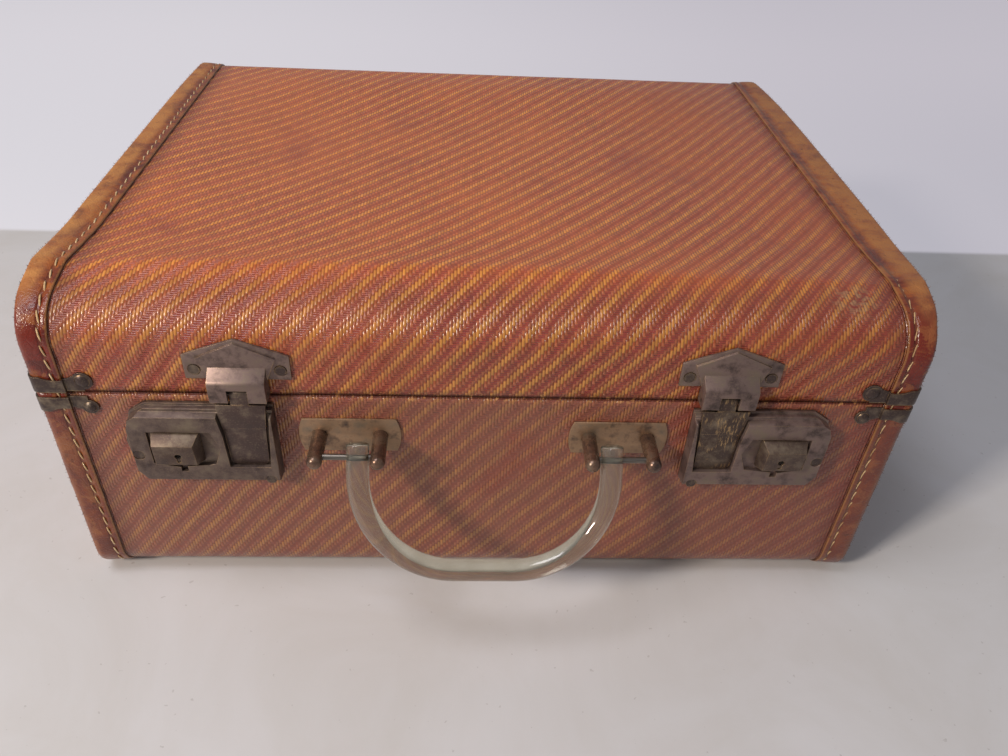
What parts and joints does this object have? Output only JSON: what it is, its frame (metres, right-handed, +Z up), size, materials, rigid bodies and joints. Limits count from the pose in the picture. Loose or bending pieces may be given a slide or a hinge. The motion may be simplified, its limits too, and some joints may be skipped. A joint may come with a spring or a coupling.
{
  "type": "briefcase",
  "caption": "Hard travel case with a striped cloth cover, leather-bound ends, clear bent-rod handle, sliding-catch locks with hinged hasps and a hinged lid.",
  "frame": {"origin": "on the ground plane, under the middle of the case's shell", "axes": "+Z up with the case lying on its bottom, -Y towards the handle side, +X to the right of someone who faces the handle"},
  "size_m": [0.4076, 0.3933, 0.172],
  "materials": {
    "cloth": "varnished woven cloth with a diagonal stripe",
    "leather": "worn varnished leather",
    "board": "pressed fibre board",
    "lining": "matt lining paper",
    "lock_brass": "tarnished, bright on the edges",
    "dark_brass": "dark tarnish",
    "mount_brass": "dull, lightly tarnished",
    "steel": "bare steel",
    "acrylic": "clear, slightly yellow"
  },
  "bodies": {
    "tray": {"tray_board": "board", "tray_end_left": "board", "tray_end_right": "board", "tray_cover": "cloth", "tray_end_cover_left": "cloth", "tray_end_cover_right": "cloth", "tray_lining": "lining", "tray_lip": "lining", "tray_binding_left": "leather", "tray_binding_right": "leather", "tray_corner_clips": "dark_brass", "tray_clip_rivets": "dark_brass", "lock_plate_left": "dark_brass", "lock_plate_right": "dark_brass", "lock_case_left": "lock_brass", "lock_case_right": "lock_brass", "lock_rivets": "dark_brass", "return_spring_left": "steel", "return_spring_right": "steel", "handle_plate_left": "mount_brass", "handle_plate_right": "mount_brass", "handle_posts_left": "lock_brass", "handle_posts_right": "lock_brass", "handle_pin_left": "steel", "handle_pin_right": "steel", "hinge_leaves_tray": "lock_brass", "hinge_pins": "steel", "hinge_rivets_tray": "dark_brass"},
    "lid": {"lid_board": "board", "lid_end_left": "board", "lid_end_right": "board", "lid_cover": "cloth", "lid_end_cover_left": "cloth", "lid_end_cover_right": "cloth", "lid_lining": "lining", "lid_binding_left": "leather", "lid_binding_right": "leather", "lid_corner_clips": "dark_brass", "lid_clip_rivets": "dark_brass", "keeper_left": "lock_brass", "keeper_right": "lock_brass", "keeper_rivets": "dark_brass", "hasp_pins": "steel", "hinge_leaves_lid": "lock_brass", "hinge_rivets_lid": "dark_brass"},
    "hasp_l": {"hasp_left": "dark_brass"},
    "hasp_r": {"hasp_right": "dark_brass"},
    "slide_l": {"release_slide_left": "lock_brass"},
    "slide_r": {"release_slide_right": "lock_brass"},
    "cam_l": {"key_cam_left": "steel"},
    "cam_r": {"key_cam_right": "steel"},
    "handle": {"handle_rod": "acrylic"}
  },
  "joints": [
    {"name": "lid_hinge", "type": "hinge", "parent": "tray", "child": "lid", "pos_m": [0, 0.1727, 0.127], "axis": [-1, 0, 0], "range_deg": [0, 105]},
    {"name": "hasp_left_hinge", "type": "hinge", "parent": "lid", "child": "hasp_l", "pos_m": [-0.11104, -0.1745, 0.1313], "axis": [-1, 0, 0], "range_deg": [0, 105]},
    {"name": "hasp_right_hinge", "type": "hinge", "parent": "lid", "child": "hasp_r", "pos_m": [0.11104, -0.1745, 0.1313], "axis": [-1, 0, 0], "range_deg": [0, 105]},
    {"name": "slide_left_travel", "type": "slide", "parent": "tray", "child": "slide_l", "axis": [1, 0, 0], "range_m": [0, 0.0045], "stiffness_N_per_m": 200, "springref_m": -0.004, "deforming": ["return_spring_left"]},
    {"name": "slide_right_travel", "type": "slide", "parent": "tray", "child": "slide_r", "axis": [-1, 0, 0], "range_m": [0, 0.0045], "stiffness_N_per_m": 200, "springref_m": -0.004, "deforming": ["return_spring_right"]},
    {"name": "cam_left_turn", "type": "hinge", "parent": "slide_l", "child": "cam_l", "pos_m": [-0.14204, -0.1789, 0.099], "axis": [0, 1, 0], "range_deg": [-90, 0]},
    {"name": "cam_right_turn", "type": "hinge", "parent": "slide_r", "child": "cam_r", "pos_m": [0.14204, -0.1789, 0.099], "axis": [0, -1, 0], "range_deg": [-90, 0]},
    {"name": "handle_swing", "type": "hinge", "parent": "tray", "child": "handle", "pos_m": [0, -0.1859, 0.1035], "axis": [-1, 0, 0], "range_deg": [-40, 160]}
  ]
}
